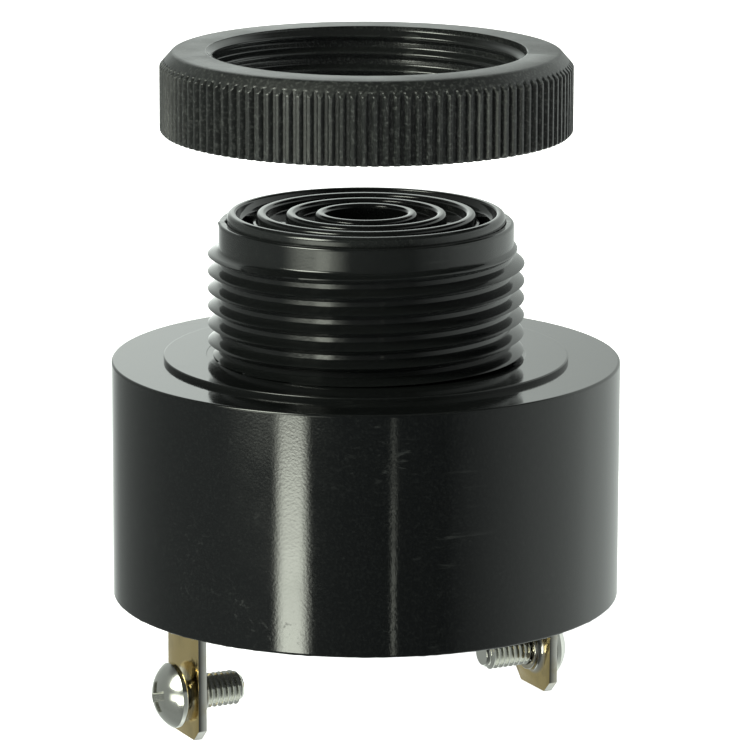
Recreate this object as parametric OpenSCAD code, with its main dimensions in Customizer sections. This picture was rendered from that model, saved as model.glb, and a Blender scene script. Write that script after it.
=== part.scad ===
// Panel-mount piezo buzzer: a moulded housing with a threaded nose and a ringed sound grille,
// a fluted ring nut that clamps it to a panel, and two screw terminals behind the panel.
// The origin is the centre of the panel seat, +Z points out of the nose, and +X runs through
// the terminals. The ring nut is drawn taken off, above the nose and on its axis.

/* [Housing] */
// Outer diameter of the body
body_d = 43.5; // [40:0.1:60]
// Height of the body below its flat top face
body_h = 20.5; // [18:0.1:32]
// Wall around the rear cover
side_wall = 2; // [1.5:0.1:3]
// Width of the ledge that the rear cover seats on
ledge_w = 0.75; // [0.5:0.05:1.5]
// Thickness of the front wall under the body's flat top face
front_wall = 2.5; // [2:0.1:4]
// Radius of the body's top edge
edge_r = 0.2; // [0.15:0.05:1]
// Width of the panel seat ring outside the thread
seat_w = 3.8; // [2:0.1:5]
// Height of the panel seat ring above the body's flat top face
seat_h = 0.4; // [0.2:0.1:1.5]

/* [Nose] */
// Major diameter of the nose thread
thread_d = 27; // [24:0.5:32]
// Pitch of the nose thread
thread_pitch = 1.5; // [1:0.25:2]
// Crests of the nose thread
thread_turns = 7; // [4:1:9]
// Height of the plain band above the thread
lead_in_h = 2.3; // [1:0.1:4]
// Wall of the nose around the grille
lip_wall = 0.68; // [0.5:0.02:1.2]

/* [Sound grille] */
// How deep the grille is set into the nose
grille_set = 2.2; // [1.2:0.1:2.5]
// How far the grille's rim stands above the nose
grille_stand = 0.8; // [0.6:0.1:2]
// Width of the ledge under the grille
grille_ledge = 0.9; // [0.5:0.05:1.2]
// Rings inside the rim
ring_count = 3; // [1:1:3]
// Radial distance from ring to ring
ring_pitch = 2.5; // [2:0.05:3]
// Thickness of a ring
ring_w = 0.9; // [0.6:0.05:1.2]
// Thickness of the rim
rim_w = 0.8; // [0.5:0.05:1]
// Depth of the grooves between the rings
groove_depth = 0.9; // [0.5:0.05:1.4]
// Webs across the open outer groove
web_count = 5; // [3:1:8]
// Width of a web
web_w = 1.2; // [0.8:0.1:2]

/* [Ring nut] */
// Height of the nut
nut_h = 6.9; // [5:0.1:10]
// Wall of the nut, from its bore to the flute crests
nut_wall = 3.9; // [3:0.1:6]
// Flutes round the nut
flute_count = 120; // [60:2:140]
// Depth of a flute
flute_depth = 0.42; // [0.2:0.02:0.6]
// Height of the bevel at the nut's outer edge
nut_bevel_h = 1.25; // [0.6:0.05:2]
// Width of the bevel at the nut's outer edge
nut_bevel_w = 1.1; // [0.6:0.05:1.8]
// Height of the nut above the seat as drawn
nut_lift = 19.25; // [15:0.05:36]

/* [Terminals] */
// Width of a terminal tab
tab_w = 6.3; // [4.8:0.1:8]
// Thickness of a terminal tab
tab_t = 0.8; // [0.5:0.1:1.2]
// Length of a tab below the body
tab_drop = 10.8; // [9:0.1:16]
// Distance from a tab's outer face to the rim round the rear cover
tab_inset = 2.45; // [1.8:0.05:4]
// Chamfer at the end of a tab
tab_chamfer = 1; // [0.4:0.1:1.6]
// Width of the stop shoulder on each side of a tab
shoulder_w = 1; // [0.6:0.1:1.4]
// Height of the stop shoulder
shoulder_h = 1.5; // [0.8:0.1:2.5]
// Width of the tail that is soldered into the board
tail_w = 3; // [2:0.1:4]
// Distance from the end of a tab to its screw hole
hole_up = 3.6; // [3:0.1:5]
// Height of the collar drawn up round the screw hole
collar_h = 0.8; // [0.7:0.05:1.5]
// Wall of the collar
collar_wall = 0.4; // [0.3:0.05:0.7]

/* [Terminal screws] */
// Thread diameter of a terminal screw
screw_d = 3; // [2.5:0.5:3.5]
// Length of a screw under its head
screw_l = 6; // [5:0.2:10]
// Diameter of a screw head
head_d = 5.6; // [5:0.1:6.4]
// Height of a screw head
head_h = 1.9; // [1.6:0.1:3]
// Width across the cross recess
recess_w = 3; // [2:0.1:3.4]
// How far the left screw is backed out
left_screw_gap = 0.7; // [0.1:0.1:2]
// How far the right screw is backed out
right_screw_gap = 0.1; // [0.1:0.1:2]

/* [Rear cover] */
// Thickness of the rear cover
cover_t = 2; // [1.5:0.1:3]
// Depth of the rear cover below the rim of the body
cover_sunk = 0.4; // [0.2:0.1:1]
// Diameter of the posts that carry the board
post_d = 3.2; // [2.6:0.1:4]
// Diameter of the pins on the posts
pin_d = 1.6; // [1:0.1:2]
// Distance from the edge of the board to the posts' axes
post_inset = 4; // [3:0.1:5]

/* [Sounder] */
// Gap round the diaphragm
disc_gap = 1.5; // [0.8:0.1:3]
// Thickness of the brass diaphragm
disc_t = 0.3; // [0.2:0.05:0.5]
// Diameter of the ceramic
ceramic_d = 25; // [20:0.5:28]
// Thickness of the ceramic
ceramic_t = 0.25; // [0.15:0.05:0.4]
// Height of the soft ring between the front wall and the diaphragm
nodal_h = 1.2; // [0.8:0.1:2]
// Width of the soft ring
nodal_w = 1.2; // [0.8:0.1:1.6]

/* [Circuit] */
// Thickness of the circuit board
board_t = 1.6; // [0.8:0.1:2]
// Gap round the circuit board
board_gap = 0.5; // [0.3:0.1:1.5]
// Diameter of a component lead
lead_d = 0.6; // [0.4:0.05:0.8]
// How far leads stand out under the board
lead_out = 1.2; // [0.6:0.1:2]
// Distance between the leads of a lying component
lead_span = 10; // [9:0.5:12]
// Diameter of a resistor
resistor_d = 2.3; // [1.8:0.1:2.6]
// Length of a resistor
resistor_l = 6.3; // [5:0.1:7]
// Diameter of the diode
diode_d = 2.7; // [2:0.1:3]
// Length of the diode
diode_l = 5.2; // [4:0.1:6]
// Diameter of the capacitor
capacitor_d = 5; // [4:0.1:5.5]
// Height of the capacitor
capacitor_h = 5; // [4:0.1:8]
// Diameter of the transistor's round back
transistor_d = 4.6; // [4:0.1:5]
// Height of the transistor's body
transistor_h = 4.6; // [4:0.1:6]
// Diameter of the wires to the sounder
wire_d = 1; // [0.6:0.1:1.2]

/* [Hidden] */

$fn = 96;

// Clearances
set_clear = 0.05;      // grille in the nose, screw in its hole
thread_clear = 0.1;    // nut bore over the thread crests
cover_clear = 0.1;     // rear cover in its recess
slot_clear = 0.1;      // tabs and pins in their openings
lead_clear = 0.15;     // leads in the board
room_clear = 0.9;      // tallest component to the ceramic
nodal_clear = 0.4;     // soft ring outside the nose bore
cut_over = 1;          // cuts run past the faces they cut

// Thread form: sixty degree flanks, a flat crest of an eighth of the pitch
thread_r = thread_d / 2;
thread_depth = 0.6134 * thread_pitch;
crest_w = thread_pitch / 8;
flank_h = thread_depth * tan(30);
root_r = thread_r - thread_depth;
thread_top = (thread_turns - 1) * thread_pitch + crest_w;
nose_top = thread_top + lead_in_h;
lip_chamfer = 0.12;
foot_relief_w = 0.3;
foot_relief_h = 0.15;

// Housing
body_r = body_d / 2;
seat_r = thread_r + seat_w;
seat_chamfer = 0.1;
face_z = -seat_h;
bottom_z = face_z - body_h;
ceiling_z = face_z - front_wall;
recess_r = body_r - side_wall;
cavity_r = recess_r - ledge_w;

// Grille in the mouth of the nose
grille_bore_r = root_r - lip_wall;
grille_r = grille_bore_r - set_clear;
grille_z = nose_top - grille_set;
grille_top = nose_top + grille_stand;
groove_z = grille_top - groove_depth;
nose_bore_r = grille_bore_r - grille_ledge;
port_r = grille_r - ring_count * ring_pitch - ring_w;
web_turn = 63.5;       // angle of the first web

// Ring nut
nut_bore_r = thread_r + thread_clear;
nut_r = nut_bore_r + nut_wall;
nut_lead_in = 0.3;     // chamfer at the mouth of the bore
flute_step = 360 / flute_count;
crest_share = 0.34;    // part of a flute's step that is crest
root_share = 0.26;     // part of a flute's step that is root

// Rear cover and board
cover_r = recess_r - cover_clear;
cover_bottom = bottom_z + cover_sunk;
cover_top = cover_bottom + cover_t;
disc_r = cavity_r - disc_gap;
disc_top = ceiling_z - nodal_h;
disc_bottom = disc_top - disc_t;
ceramic_bottom = disc_bottom - ceramic_t;
ceramic_r = ceramic_d / 2;
stand_off = 0.2;       // lying components above the board
leg_up = 1.5;          // transistor above the board
tallest = max(leg_up + transistor_h, stand_off + capacitor_h, stand_off + diode_d);
board_top = ceramic_bottom - room_clear - tallest;
board_bottom = board_top - board_t;
board_r = cavity_r - board_gap;
post_r = board_r - post_inset;
post_angles = [60, 120, 240, 300];
pin_out = 0.5;         // pins above the board
root_in = 0.5;         // posts rooted in the cover

// Terminals and their screws
tab_x = recess_r - tab_inset - tab_t / 2;
tab_end = bottom_z - tab_drop;
tail_out = 1;          // tail above the board
tail_down = 1;         // full width of a tab below the board
hole_z = tab_end + hole_up;
collar_r = screw_d / 2 + set_clear + collar_wall;
collar_fillet = 0.5;   // at the foot of a collar
collar_root = 0.3;     // collar rooted in its tab
tail_top = board_top + tail_out;
tail_root = board_bottom - tail_down;
head_edge = 0.5;       // straight edge of a screw head
recess_slot = 0.8;     // width of the cross recess
recess_depth = 1.2;
screw_point = 0.4;     // chamfer at a screw's end

// Places on the board
bias_at = [-9, 0];
load_at = [-5.8, 0];
feedback_at = [-2.6, 0];
diode_at = [9, 0];
capacitor_at = [4.2, 3.6];
transistor_at = [4.2, -4.2];
capacitor_pitch = 2;
transistor_pitch = 1.27;
flat_depth = 1.3;      // flat front of the transistor from its axis

// Wire routes: where each leaves the board, and where it meets the sounder
joint_inset = 2;       // feedback joint inside the ceramic's edge
drive_route = [[1.5, 9], [0, 4]];
feedback_route = [[-2, 9], (ceramic_r - joint_inset) * [cos(130), sin(130)]];
ground_route = [[0, -9.5], [0, -(ceramic_r + disc_r) / 2]];
wire_handle = 3.5;     // straight pull at each end of a wire
wire_sides = 8;
wire_rings = 12;

function lead_places(at) = [for (s = [-1, 1]) [at[0], at[1] + s * lead_span / 2]];
function arc(centre, r, from, to, steps) =
    [for (i = [0:steps]) centre + r * [cos(from + (to - from) * i / steps),
                                       sin(from + (to - from) * i / steps)]];

// Housing: one moulded section turned about the axis

function thread_section() = [for (i = [0:thread_turns - 1]) each [
    [thread_r, i * thread_pitch],
    [thread_r, i * thread_pitch + crest_w],
    [root_r, i * thread_pitch + crest_w + flank_h],
    if (i < thread_turns - 1) [root_r, (i + 1) * thread_pitch - flank_h]]];

module housing() {
    color("#17181a")
    rotate_extrude()
    polygon(concat(
        [[recess_r, bottom_z], [body_r, bottom_z]],
        arc([body_r - edge_r, face_z - edge_r], edge_r, 0, 90, 5),
        [[seat_r, face_z],
         [seat_r, -seat_chamfer],
         [seat_r - seat_chamfer, 0],
         [thread_r + foot_relief_w, 0],
         [thread_r + foot_relief_w, -foot_relief_h],
         [thread_r, -foot_relief_h]],
        thread_section(),
        [[root_r, nose_top - lip_chamfer],
         [root_r - lip_chamfer, nose_top],
         [grille_bore_r, nose_top],
         [grille_bore_r, grille_z],
         [nose_bore_r, grille_z],
         [nose_bore_r, ceiling_z],
         [cavity_r, ceiling_z],
         [cavity_r, cover_top],
         [recess_r, cover_top]]));
}

// Sound grille: a plate with round-topped rings, a centre port and an open outer groove

module ring_section(outer_r, w) {
    translate([outer_r - w, grille_z])
    square([w, grille_top - grille_z - w / 2]);
    translate([outer_r - w / 2, grille_top - w / 2])
    circle(d = w, $fn = 32);
}

module sound_grille() {
    slot_inner = grille_r - ring_pitch;
    slot_outer = grille_r - rim_w;
    color("#141517")
    union() {
        rotate_extrude()
        ring_section(grille_r, rim_w);
        rotate_extrude()
        union() {
            translate([port_r, grille_z])
            square([slot_inner - port_r, groove_z - grille_z]);
            for (i = [1:ring_count])
                ring_section(grille_r - i * ring_pitch, ring_w);
        }
        for (i = [0:web_count - 1])
            rotate([0, 0, web_turn + i * 360 / web_count])
            translate([slot_inner - ring_w / 2, -web_w / 2, grille_z])
            cube([slot_outer - slot_inner + ring_w / 2 + rim_w / 2, web_w, groove_z - grille_z]);
    }
}

// Ring nut: fluted round the side, bevelled at the top, plain bore at the thread's size

function flute_outline() = [for (i = [0:flute_count - 1]) each [
    for (p = [[nut_r, -crest_share / 2],
              [nut_r, crest_share / 2],
              [nut_r - flute_depth, 0.5 - root_share / 2],
              [nut_r - flute_depth, 0.5 + root_share / 2]])
        p[0] * [cos((i + p[1]) * flute_step), sin((i + p[1]) * flute_step)]]];

module ring_nut() {
    color("#26282a")
    translate([0, 0, nut_lift])
    difference() {
        intersection() {
            linear_extrude(height = nut_h)
            polygon(flute_outline());
            rotate_extrude()
            polygon([[0, 0],
                     [nut_r + cut_over, 0],
                     [nut_r + cut_over, nut_h - nut_bevel_h * (1 + cut_over / nut_bevel_w)],
                     [nut_r - nut_bevel_w, nut_h],
                     [0, nut_h]]);
        }
        translate([0, 0, -cut_over])
        cylinder(r = nut_bore_r, h = nut_h + 2 * cut_over);
        translate([0, 0, -nut_lead_in])
        cylinder(r1 = nut_bore_r + 2 * nut_lead_in, r2 = nut_bore_r, h = 2 * nut_lead_in);
    }
}

// Terminals: tabs stopped under the rear cover by their shoulders and soldered into the board,
// with a collar on the inner face that gives the screw more thread

module collar() {
    rotate_extrude($fn = 48)
    polygon(concat(
        [[0, -collar_root], [collar_r + collar_fillet, -collar_root]],
        arc([collar_r + collar_fillet, collar_fillet], collar_fillet, 270, 180, 5),
        [[collar_r, collar_h], [0, collar_h]]));
}

module terminal(side) {
    color("#b9ad8c")
    translate([side * tab_x, 0, 0])
    difference() {
        union() {
            rotate([90, 0, 90])
            translate([0, 0, -tab_t / 2])
            linear_extrude(height = tab_t)
            polygon([[-tab_w / 2 + tab_chamfer, tab_end],
                     [tab_w / 2 - tab_chamfer, tab_end],
                     [tab_w / 2, tab_end + tab_chamfer],
                     [tab_w / 2, cover_bottom - shoulder_h],
                     [tab_w / 2 + shoulder_w, cover_bottom - shoulder_h],
                     [tab_w / 2 + shoulder_w, cover_bottom],
                     [tab_w / 2, cover_bottom],
                     [tab_w / 2, tail_root],
                     [tail_w / 2, tail_root],
                     [tail_w / 2, tail_top],
                     [-tail_w / 2, tail_top],
                     [-tail_w / 2, tail_root],
                     [-tab_w / 2, tail_root],
                     [-tab_w / 2, cover_bottom],
                     [-tab_w / 2 - shoulder_w, cover_bottom],
                     [-tab_w / 2 - shoulder_w, cover_bottom - shoulder_h],
                     [-tab_w / 2, cover_bottom - shoulder_h],
                     [-tab_w / 2, tab_end + tab_chamfer]]);
            translate([-side * tab_t / 2, 0, hole_z])
            rotate([0, -side * 90, 0])
            collar();
        }
        translate([side * (tab_t / 2 + cut_over), 0, hole_z])
        rotate([0, -side * 90, 0])
        cylinder(d = screw_d + 2 * set_clear, h = tab_t + collar_h + 2 * cut_over, $fn = 48);
    }
}

module left_terminal() {
    terminal(-1);
}

module right_terminal() {
    terminal(1);
}

// Terminal screws: domed heads outwards, with a cross recess

module screw() {
    dome_rise = head_h - head_edge;
    dome_r = (head_d * head_d / 4 + dome_rise * dome_rise) / (2 * dome_rise);
    dome_angle = asin(head_d / 2 / dome_r);
    difference() {
        rotate_extrude($fn = 64)
        polygon(concat(
            [[0, -screw_l],
             [screw_d / 2 - screw_point, -screw_l],
             [screw_d / 2, -screw_l + screw_point],
             [screw_d / 2, 0],
             [head_d / 2, 0]],
            arc([0, head_h - dome_r], dome_r, 90 - dome_angle, 90, 8)));
        for (turn = [45, 135])
            rotate([0, 0, turn])
            translate([-recess_w / 2, -recess_slot / 2, head_h - recess_depth])
            cube([recess_w, recess_slot, recess_depth + cut_over]);
    }
}

module seated_screw(side, gap) {
    color("#c9cbc8")
    translate([side * (tab_x + tab_t / 2 + gap), 0, hole_z])
    rotate([0, side * 90, 0])
    screw();
}

module left_screw() {
    seated_screw(-1, left_screw_gap);
}

module right_screw() {
    seated_screw(1, right_screw_gap);
}

// Rear cover: seats on the body's ledge, with slots for the tabs and posts for the board

module rear_cover() {
    color("#1c1d1f")
    difference() {
        union() {
            translate([0, 0, cover_bottom])
            cylinder(r = cover_r, h = cover_t);
            for (a = post_angles)
                rotate([0, 0, a])
                translate([post_r, 0, 0])
                rotate_extrude($fn = 32)
                polygon([[0, cover_top - root_in],
                         [post_d / 2, cover_top - root_in],
                         [post_d / 2, board_bottom],
                         [pin_d / 2, board_bottom],
                         [pin_d / 2, board_top + pin_out],
                         [0, board_top + pin_out]]);
        }
        for (side = [-1, 1])
            translate([side * tab_x - tab_t / 2 - slot_clear, -tab_w / 2 - slot_clear,
                       cover_bottom - cut_over])
            cube([tab_t + 2 * slot_clear, tab_w + 2 * slot_clear, cover_t + 2 * cut_over]);
    }
}

// Sounder: ceramic on brass, held to the front wall by a soft ring

module diaphragm() {
    color("#c9a24a")
    translate([0, 0, disc_bottom])
    cylinder(r = disc_r, h = disc_t);
}

module piezo_ceramic() {
    color("#d8d4c6")
    translate([0, 0, ceramic_bottom])
    cylinder(r = ceramic_r, h = ceramic_t);
}

module nodal_ring() {
    color("#e6e4de")
    translate([0, 0, disc_top])
    difference() {
        cylinder(r = nose_bore_r + nodal_clear + nodal_w, h = nodal_h);
        translate([0, 0, -cut_over])
        cylinder(r = nose_bore_r + nodal_clear, h = nodal_h + 2 * cut_over);
    }
}

// Circuit board: holes for every lead, pin and tail

function transistor_leads() = [for (i = [-1, 0, 1]) transistor_at + [i * transistor_pitch, 0]];
function capacitor_leads() = [for (s = [-1, 1]) capacitor_at + [s * capacitor_pitch / 2, 0]];
function all_leads() = concat(lead_places(bias_at), lead_places(load_at), lead_places(feedback_at),
                              lead_places(diode_at), capacitor_leads(), transistor_leads());

module circuit_board() {
    color("#3b6b3f")
    translate([0, 0, board_bottom])
    difference() {
        cylinder(r = board_r, h = board_t);
        for (p = all_leads())
            translate([p[0], p[1], -cut_over])
            cylinder(d = lead_d + 2 * lead_clear, h = board_t + 2 * cut_over, $fn = 24);
        for (a = post_angles)
            rotate([0, 0, a])
            translate([post_r, 0, -cut_over])
            cylinder(d = pin_d + 2 * slot_clear, h = board_t + 2 * cut_over, $fn = 32);
        for (side = [-1, 1])
            translate([side * tab_x - tab_t / 2 - slot_clear, -tail_w / 2 - slot_clear, -cut_over])
            cube([tab_t + 2 * slot_clear, tail_w + 2 * slot_clear, board_t + 2 * cut_over]);
    }
}

// Components

module lead_down(from_z) {
    translate([0, 0, board_bottom - lead_out])
    cylinder(d = lead_d, h = from_z - board_bottom + lead_out, $fn = 24);
}

module lying_part(at, d, l) {
    axis_z = board_top + stand_off + d / 2;
    translate([at[0], at[1], axis_z])
    rotate([90, 0, 0])
    cylinder(d = d, h = l, center = true, $fn = 32);
    translate([at[0], at[1], axis_z])
    rotate([90, 0, 0])
    cylinder(d = lead_d, h = lead_span, center = true, $fn = 24);
    for (p = lead_places(at))
        translate([p[0], p[1], 0]) {
            lead_down(axis_z);
            translate([0, 0, axis_z])
            sphere(d = lead_d, $fn = 24);
        }
}

module bias_resistor() {
    color("#c8b48c")
    lying_part(bias_at, resistor_d, resistor_l);
}

module load_resistor() {
    color("#c8b48c")
    lying_part(load_at, resistor_d, resistor_l);
}

module feedback_resistor() {
    color("#c8b48c")
    lying_part(feedback_at, resistor_d, resistor_l);
}

module polarity_diode() {
    color("#202124")
    lying_part(diode_at, diode_d, diode_l);
}

module supply_capacitor() {
    color("#2a3a5c")
    union() {
        translate([capacitor_at[0], capacitor_at[1], board_top + stand_off])
        cylinder(d = capacitor_d, h = capacitor_h, $fn = 48);
        for (p = capacitor_leads())
            translate([p[0], p[1], 0])
            lead_down(board_top + stand_off + lead_d);
    }
}

module transistor() {
    color("#202124")
    union() {
        translate([transistor_at[0], transistor_at[1], board_top + leg_up])
        difference() {
            cylinder(d = transistor_d, h = transistor_h, $fn = 48);
            translate([-transistor_d, -transistor_d - flat_depth, -cut_over])
            cube([2 * transistor_d, transistor_d, transistor_h + 2 * cut_over]);
        }
        for (p = transistor_leads())
            translate([p[0], p[1], 0])
            lead_down(board_top + leg_up + lead_d);
    }
}

// Wires from the board to the sounder, swept along a smooth route with upright ends

function wire_point(a, b, top, t) =
    let (p = [[a[0], a[1], board_top],
              [a[0], a[1], board_top + wire_handle],
              [b[0], b[1], top - wire_handle],
              [b[0], b[1], top]])
    pow(1 - t, 3) * p[0] + 3 * t * pow(1 - t, 2) * p[1] + 3 * t * t * (1 - t) * p[2] + pow(t, 3) * p[3];

module wire(route, top) {
    points = [for (i = [0:wire_rings]) wire_point(route[0], route[1], top, i / wire_rings)];
    run = route[1] - route[0];
    across = [-run[1], run[0], 0] / norm(run);
    rings = [for (i = [0:wire_rings]) let (
        along = i == 0 || i == wire_rings ? [0, 0, 1] : points[i + 1] - points[i - 1],
        out = cross(across, along / norm(along)))
        for (k = [0:wire_sides - 1])
            points[i] + wire_d / 2 * (cos(k * 360 / wire_sides) * across
                                      + sin(k * 360 / wire_sides) * out)];
    polyhedron(points = rings, faces = concat(
        [[for (k = [0:wire_sides - 1]) k]],
        [for (i = [0:wire_rings - 1], k = [0:wire_sides - 1])
            [i * wire_sides + k, (i + 1) * wire_sides + k,
             (i + 1) * wire_sides + (k + 1) % wire_sides, i * wire_sides + (k + 1) % wire_sides]],
        [[for (k = [wire_sides - 1:-1:0]) wire_rings * wire_sides + k]]));
}

module drive_wire() {
    color("#a8241f")
    wire(drive_route, ceramic_bottom);
}

module feedback_wire() {
    color("#2748a0")
    wire(feedback_route, ceramic_bottom);
}

module ground_wire() {
    color("#1b1b1b")
    wire(ground_route, disc_bottom);
}

housing();
sound_grille();
ring_nut();
left_terminal();
right_terminal();
left_screw();
right_screw();
rear_cover();
diaphragm();
piezo_ceramic();
nodal_ring();
circuit_board();
transistor();
bias_resistor();
load_resistor();
feedback_resistor();
polarity_diode();
supply_capacitor();
drive_wire();
feedback_wire();
ground_wire();
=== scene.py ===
import math

import bmesh
import bpy
import numpy as np
from mathutils import Matrix, Vector


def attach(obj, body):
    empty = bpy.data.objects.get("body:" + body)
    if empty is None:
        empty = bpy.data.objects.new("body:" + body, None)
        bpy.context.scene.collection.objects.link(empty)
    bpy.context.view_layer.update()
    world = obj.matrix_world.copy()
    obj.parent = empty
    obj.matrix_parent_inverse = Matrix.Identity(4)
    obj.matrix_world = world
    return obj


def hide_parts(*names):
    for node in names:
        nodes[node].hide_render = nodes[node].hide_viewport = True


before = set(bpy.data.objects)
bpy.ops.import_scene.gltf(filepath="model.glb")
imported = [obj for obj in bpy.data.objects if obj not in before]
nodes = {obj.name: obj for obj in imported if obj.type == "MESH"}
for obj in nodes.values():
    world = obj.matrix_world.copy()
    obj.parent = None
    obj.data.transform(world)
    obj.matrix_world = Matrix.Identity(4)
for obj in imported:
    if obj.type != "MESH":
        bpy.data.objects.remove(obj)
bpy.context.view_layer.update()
scene = bpy.context.scene
mm = 0.001
print("frame loaded:", len(nodes), "nodes")

# sizes that more than one piece uses, in millimetres
thread = {"pitch": 1.5, "crestRadius": 13.5, "rootRadius": 12.58, "crestAt": 0.09, "facing": -116.5}
nutLift = 19.25      # the nut above the seat, as shown
mergeDistance = 0.002 * mm
endWithin = 1e-7      # points this near a height, in metres, lie on the end of a band
fullTurn = 2 * math.pi - 1e-6      # an angle a hair short of a full turn counts as zero


def addObject(name, data):
    made = bpy.data.objects.new(name, data)
    scene.collection.objects.link(made)
    return made


def evaluatedMesh(made):
    return bpy.data.meshes.new_from_object(made.evaluated_get(bpy.context.evaluated_depsgraph_get()))


# camera

cameraView = {
    "azimuth": -26.5, "pitch": 12.705, "lens": 235.2, "sensor": 36.0,
    "place": (-182.6, -366.3, 90.33), "slideRight": 0.76, "roll": 0.18, "clip": (0.02, 20),
}


def placeCamera(v):
    turn = math.radians(v["azimuth"])
    right = Vector((math.cos(turn), math.sin(turn), 0))
    data = bpy.data.cameras.new("photoCamera")
    data.lens = v["lens"]
    data.sensor_width = v["sensor"]
    data.clip_start, data.clip_end = v["clip"]
    camera = addObject("photoCamera", data)
    camera.location = (Vector(v["place"]) + right * v["slideRight"]) * mm
    aim = Matrix.Rotation(turn, 3, "Z") @ Matrix.Rotation(math.radians(90 - v["pitch"]), 3, "X")
    camera.rotation_euler = (aim @ Matrix.Rotation(math.radians(v["roll"]), 3, "Z")).to_euler()
    scene.camera = camera


placeCamera(cameraView)
scene.view_settings.view_transform = "Standard"
print("camera placed")


# node helpers, for shader trees and geometry trees alike

def plug(socket, value):
    if isinstance(value, bpy.types.NodeSocket):
        socket.id_data.links.new(value, socket)
    else:
        socket.default_value = value


def calc(operation, *values, clamp=False):
    tree = next(value.id_data for value in values if isinstance(value, bpy.types.NodeSocket))
    node = tree.nodes.new("ShaderNodeMath")
    node.operation = operation
    node.use_clamp = clamp
    for socket, value in zip(node.inputs, values):
        plug(socket, value)
    return node.outputs[0]


def shortCalc(operation):
    return lambda *values, clamp=False: calc(operation, *values, clamp=clamp)


times, plus, minus, divide = map(shortCalc, ("MULTIPLY", "ADD", "SUBTRACT", "DIVIDE"))


def spread(value, low, high, toLow=0.0, toHigh=1.0, smooth=False):
    node = value.id_data.nodes.new("ShaderNodeMapRange")
    if smooth:
        node.interpolation_type = "SMOOTHSTEP"
    for socket, item in zip(node.inputs, (value, low, high, toLow, toHigh)):
        plug(socket, item)
    return node.outputs[0]


def mixColour(factor, first, second):
    node = factor.id_data.nodes.new("ShaderNodeMix")
    node.data_type = "RGBA"      # its colours are inputs 6 and 7 and output 2
    plug(node.inputs[0], factor)
    plug(node.inputs[6], first)
    plug(node.inputs[7], second)
    return node.outputs[2]


def noise(vector, scale, detail=2.0, roughness=0.5):
    node = vector.id_data.nodes.new("ShaderNodeTexNoise")
    for label, value in (("Vector", vector), ("Scale", scale), ("Detail", detail), ("Roughness", roughness)):
        plug(node.inputs[label], value)
    return node.outputs[0]


def split(vector):
    axes = vector.id_data.nodes.new("ShaderNodeSeparateXYZ")
    plug(axes.inputs[0], vector)
    return axes.outputs


def objectPlace(tree):
    return tree.nodes.new("ShaderNodeTexCoord").outputs["Object"]


def objectAxes(tree):
    return split(objectPlace(tree))


def normalAxes(tree):
    return split(tree.nodes.new("ShaderNodeNewGeometry").outputs["Normal"])


def distance(first, second):
    squares = [times(value, value) for value in (first, second)]
    return calc("SQRT", plus(*squares))


# shared surface effects

def startGroup(name, inputs, outputs):
    tree = bpy.data.node_groups.new(name, "ShaderNodeTree")
    for label, value in inputs.items():
        tree.interface.new_socket(label, in_out="INPUT", socket_type="NodeSocketFloat").default_value = value
    for label in outputs:
        tree.interface.new_socket(label, in_out="OUTPUT", socket_type="NodeSocketFloat")
    start = tree.nodes.new("NodeGroupInput")
    end = tree.nodes.new("NodeGroupOutput")
    return tree, start.outputs, end.inputs


effectLooks = {
    "grain": {"detail": 3.0, "patchDetail": 4.0, "patchRough": 0.6},
    "wearAndHighlight": {"detail": 3.0, "gaps": (0.35, 0.65)},
    "dust": {"speck": (0.16, 0.06), "rare": 0.8, "film": 260.0, "filmDetail": 5.0, "filmRough": 0.65,
             "filmRange": (0.55, 0.8), "filmShare": 0.35, "upward": (-0.2, 0.9), "sides": 0.25},
    "rub": {"turned": (0.5, 0.3, 0.7), "streaks": (0.6, 0.72), "patch": 130.0, "patchRange": (0.5, 0.7)},
}


def makeMouldGrain(s):
    tree, given, out = startGroup("mouldGrain", {"Grain": 4000.0, "Patch": 160.0}, ["Height", "Patch"])
    place = objectPlace(tree)
    plug(out["Height"], noise(place, given["Grain"], s["detail"]))
    plug(out["Patch"], noise(place, given["Patch"], s["patchDetail"], s["patchRough"]))
    return tree


# paler edges found by pointiness; on the ring nut this mask carries a painted highlight as well as wear
def makeEdgeWearAndHighlight(s):
    tree, given, out = startGroup("edgeWearAndHighlight", {"From": 0.52, "To": 0.62, "Break up": 900.0}, ["Mask"])
    ridge = tree.nodes.new("ShaderNodeNewGeometry").outputs["Pointiness"]
    edge = spread(ridge, given["From"], given["To"])
    broken = spread(noise(objectPlace(tree), given["Break up"], s["detail"]), *s["gaps"])
    plug(out["Mask"], times(edge, broken))
    return tree


def makeDust(s):
    tree, given, out = startGroup("settledDust", {"Amount": 0.3, "Specks": 700.0}, ["Mask"])
    place = objectPlace(tree)
    cells = tree.nodes.new("ShaderNodeTexVoronoi")
    plug(cells.inputs["Vector"], place)
    plug(cells.inputs["Scale"], given["Specks"])
    rare = tree.nodes.new("ShaderNodeSeparateColor")
    plug(rare.inputs[0], cells.outputs["Color"])
    chosen = calc("GREATER_THAN", rare.outputs[0], s["rare"])
    speck = times(spread(cells.outputs["Distance"], *s["speck"]), chosen)
    film = spread(noise(place, s["film"], s["filmDetail"], s["filmRough"]), *s["filmRange"])
    upward = spread(normalAxes(tree)["Z"], *s["upward"], s["sides"], 1.0)
    both = plus(speck, times(film, s["filmShare"]))
    plug(out["Mask"], times(times(both, upward), given["Amount"], clamp=True))
    return tree


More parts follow.
